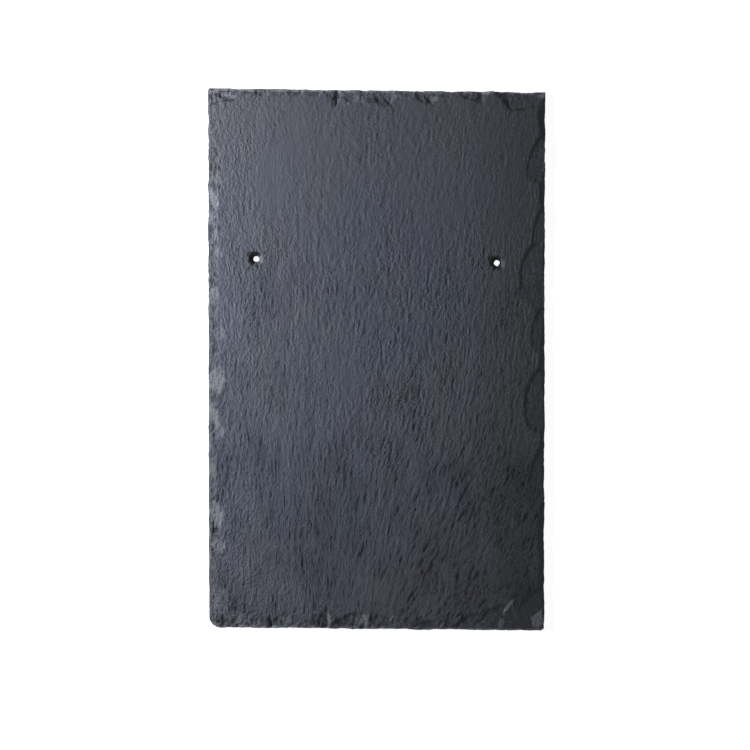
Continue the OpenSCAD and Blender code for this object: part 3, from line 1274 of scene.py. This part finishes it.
@dataclass(frozen=True)
class Studio:
    """A pale floor, one long soft lamp low on the left, a weak fill and a camera straight above."""

    floor_half: float = 6.0
    floor_gap: float = 0.05 * MM
    floor_white: float = 0.8
    floor_glow: float = 0.96
    lamp_place: tuple[float, float, float] = (-0.400, 0.150, 0.190)
    lamp_aim: tuple[float, float, float] = (-0.300, 0.160, 0.0)
    lamp_size: tuple[float, float] = (0.64, 0.14)
    lamp_power: float = 4.55
    fill: float = 0.01
    aim: tuple[float, float] = (-1.16 * MM, -11.35 * MM)
    distance: float = 1.541
    lens: float = 100.0
    sensor: float = 36.0

    def seen(self, sheet: NodeSheet) -> Socket:
        """Gives 1 for what the camera, a reflection or a clear body shows, and 0 for light.

        Args:
            sheet: Node tree to add to.

        Returns:
            The socket of that share.
        """
        path = sheet.add("LightPath").outputs
        share = sheet.sum("MAXIMUM", path["Is Camera Ray"], path["Is Glossy Ray"])
        return sheet.sum("MAXIMUM", share, path["Is Transmission Ray"])

    def floor(self) -> bpy.types.Object:
        """Lays the floor.

        Returns:
            The floor object.
        """
        bm = bmesh.new()
        bmesh.ops.create_grid(bm, x_segments=1, y_segments=1, size=self.floor_half)
        bmesh.ops.translate(bm, verts=bm.verts, vec=(0.0, 0.0, -self.floor_gap))
        mesh = bpy.data.meshes.new("pale_floor")
        bm.to_mesh(mesh)
        bm.free()
        paint = bpy.data.materials.new("pale_floor")
        paint.use_nodes = True
        sheet = NodeSheet(paint.node_tree)
        matt = sheet.add("BsdfDiffuse", {"Color": (self.floor_white,) * 3 + (1.0,)})
        glow = sheet.add("Emission", {"Strength": sheet.sum("MULTIPLY", self.seen(sheet), self.floor_glow)})
        both = sheet.add("AddShader", {0: matt.outputs[0], 1: glow.outputs[0]})
        sheet.add("OutputMaterial", {"Surface": both.outputs[0]})
        mesh.materials.append(paint)
        laid = bpy.data.objects.new("pale_floor", mesh)
        bpy.context.scene.collection.objects.link(laid)
        return laid

    def light(self) -> None:
        """Hangs the lamp and sets the fill."""
        lamp = bpy.data.lights.new("soft_lamp", "AREA")
        lamp.shape = "RECTANGLE"
        lamp.size, lamp.size_y = self.lamp_size
        lamp.energy = self.lamp_power
        hung = bpy.data.objects.new("soft_lamp", lamp)
        hung.location = self.lamp_place
        aim = Vector(self.lamp_aim) - Vector(self.lamp_place)
        hung.rotation_euler = aim.to_track_quat("-Z", "Y").to_euler()
        hung.visible_camera = False
        bpy.context.scene.collection.objects.link(hung)
        world = bpy.data.worlds.new("studio")
        world.use_nodes = True
        sheet = NodeSheet(world.node_tree)
        strength = sheet.level(self.seen(sheet), (0.0, 1.0, self.fill, 1.0))
        sky = sheet.add("Background", {"Color": (1.0, 1.0, 1.0, 1.0), "Strength": strength})
        sheet.add("OutputWorld", {"Surface": sky.outputs[0]})
        bpy.context.scene.world = world

    def camera(self, height: float) -> None:
        """Sets the camera above the slate, with the head at the top of the picture.

        Args:
            height: Height of the slate's face.
        """
        lens = bpy.data.cameras.new("camera")
        lens.lens = self.lens
        lens.sensor_width = self.sensor
        placed = bpy.data.objects.new("camera", lens)
        placed.location = (*self.aim, height + self.distance)
        bpy.context.scene.collection.objects.link(placed)
        bpy.context.scene.camera = placed


def main() -> None:
    """Builds the slate and its studio, and reports each piece."""
    logging.basicConfig(level=logging.INFO, format="%(message)s")
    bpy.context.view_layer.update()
    bpy.context.scene.view_settings.view_transform = "Standard"
    holes = [Vector(m["pos_m"]) for m in frame["record"]["mounts"] if m["kind"] == "bore"]
    slate = Slate(node=frame["nodes"]["slate"], holes=holes)
    piece = slate.build()
    LOG.info("%s: %d triangles", piece.name, sum(len(p.vertices) - 2 for p in piece.data.polygons))
    studio = Studio()
    LOG.info("%s laid", studio.floor().name)
    studio.light()
    studio.camera(slate.thick)


if __name__ == "__main__":
    main()
